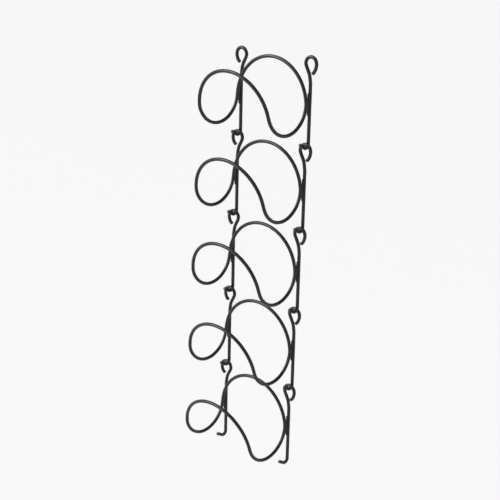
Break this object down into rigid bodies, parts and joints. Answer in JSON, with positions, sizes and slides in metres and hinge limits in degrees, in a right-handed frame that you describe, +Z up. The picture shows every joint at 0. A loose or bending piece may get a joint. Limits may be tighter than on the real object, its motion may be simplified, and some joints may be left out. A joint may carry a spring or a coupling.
{
  "type": "wine rack",
  "caption": "Wall-hung wine rack of black coated wire: saddle-shaped bottle cradles on upright rods that link by eyes and hooks into a hanging chain.",
  "frame": {"origin": "midway between the two top eyes, at the centre of the wire that rests on the wall nails", "axes": "+X along the bottles to the viewer's right, +Y into the wall, +Z up"},
  "size_m": [0.1636, 0.1172, 0.6615],
  "materials": {
    "coated_wire": "satin black powder coat"
  },
  "bodies": {
    "unit_1": {"cradle_1": "coated_wire", "rod_left_1": "coated_wire", "rod_right_1": "coated_wire", "spacer_left_1": "coated_wire", "spacer_right_1": "coated_wire"},
    "unit_2": {"cradle_2": "coated_wire", "rod_left_2": "coated_wire", "rod_right_2": "coated_wire", "spacer_left_2": "coated_wire", "spacer_right_2": "coated_wire"},
    "unit_3": {"cradle_3": "coated_wire", "rod_left_3": "coated_wire", "rod_right_3": "coated_wire", "spacer_left_3": "coated_wire", "spacer_right_3": "coated_wire"},
    "unit_4": {"cradle_4": "coated_wire", "rod_left_4": "coated_wire", "rod_right_4": "coated_wire", "spacer_left_4": "coated_wire", "spacer_right_4": "coated_wire"},
    "unit_5": {"cradle_5": "coated_wire", "rod_left_5": "coated_wire", "rod_right_5": "coated_wire", "spacer_left_5": "coated_wire", "spacer_right_5": "coated_wire"}
  },
  "joints": [
    {"name": "unit_2_swing", "type": "hinge", "parent": "unit_1", "child": "unit_2", "pos_m": [0, 0, -0.13], "axis": [-1, 0, 0], "range_deg": [0, 60]},
    {"name": "unit_3_swing", "type": "hinge", "parent": "unit_2", "child": "unit_3", "pos_m": [0, 0, -0.26], "axis": [-1, 0, 0], "range_deg": [0, 60]},
    {"name": "unit_4_swing", "type": "hinge", "parent": "unit_3", "child": "unit_4", "pos_m": [0, 0, -0.39], "axis": [-1, 0, 0], "range_deg": [0, 60]},
    {"name": "unit_5_swing", "type": "hinge", "parent": "unit_4", "child": "unit_5", "pos_m": [0, 0, -0.52], "axis": [-1, 0, 0], "range_deg": [0, 60]}
  ]
}
